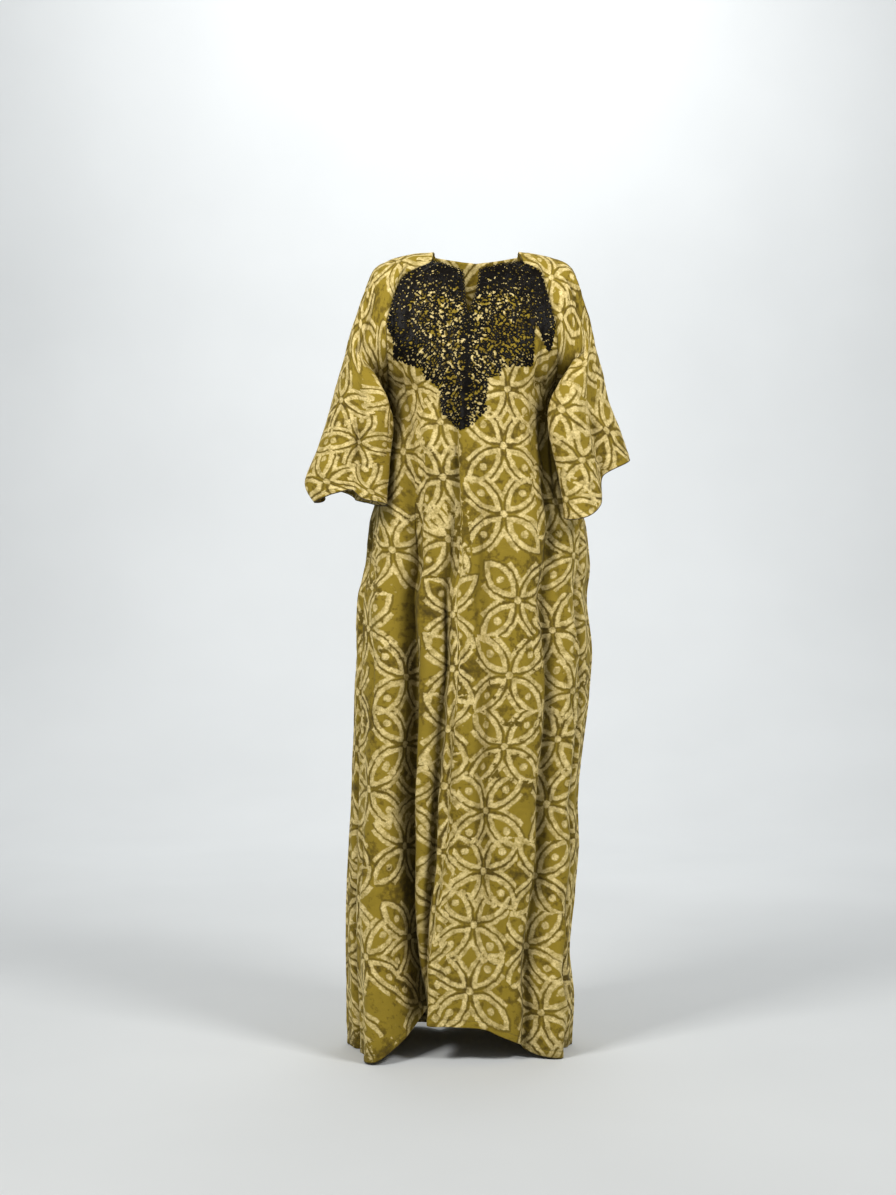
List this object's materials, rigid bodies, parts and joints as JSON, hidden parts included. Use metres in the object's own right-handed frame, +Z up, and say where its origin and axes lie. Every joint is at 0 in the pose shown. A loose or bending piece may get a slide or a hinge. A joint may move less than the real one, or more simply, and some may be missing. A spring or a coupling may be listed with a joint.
{
  "type": "grand boubou robe",
  "caption": "Floor-length worn grand boubou with wide raglan sleeves, a slit round neckline and a black lace yoke over wax-resist cotton.",
  "frame": {"origin": "between the shoulders, level with the top of the neckline, where the wearer holds the robe up", "axes": "+Z up along the hanging cloth, -Y out of the chest, +X towards the wearer's left sleeve"},
  "size_m": [0.5831, 0.3342, 1.4614],
  "materials": {
    "batik_cotton": "matte",
    "black_lace": "satin"
  },
  "bodies": {
    "root": {"front": "batik_cotton", "back": "batik_cotton", "sleeve_right": "batik_cotton", "sleeve_left": "batik_cotton", "lace_yoke": "black_lace"}
  },
  "joints": []
}
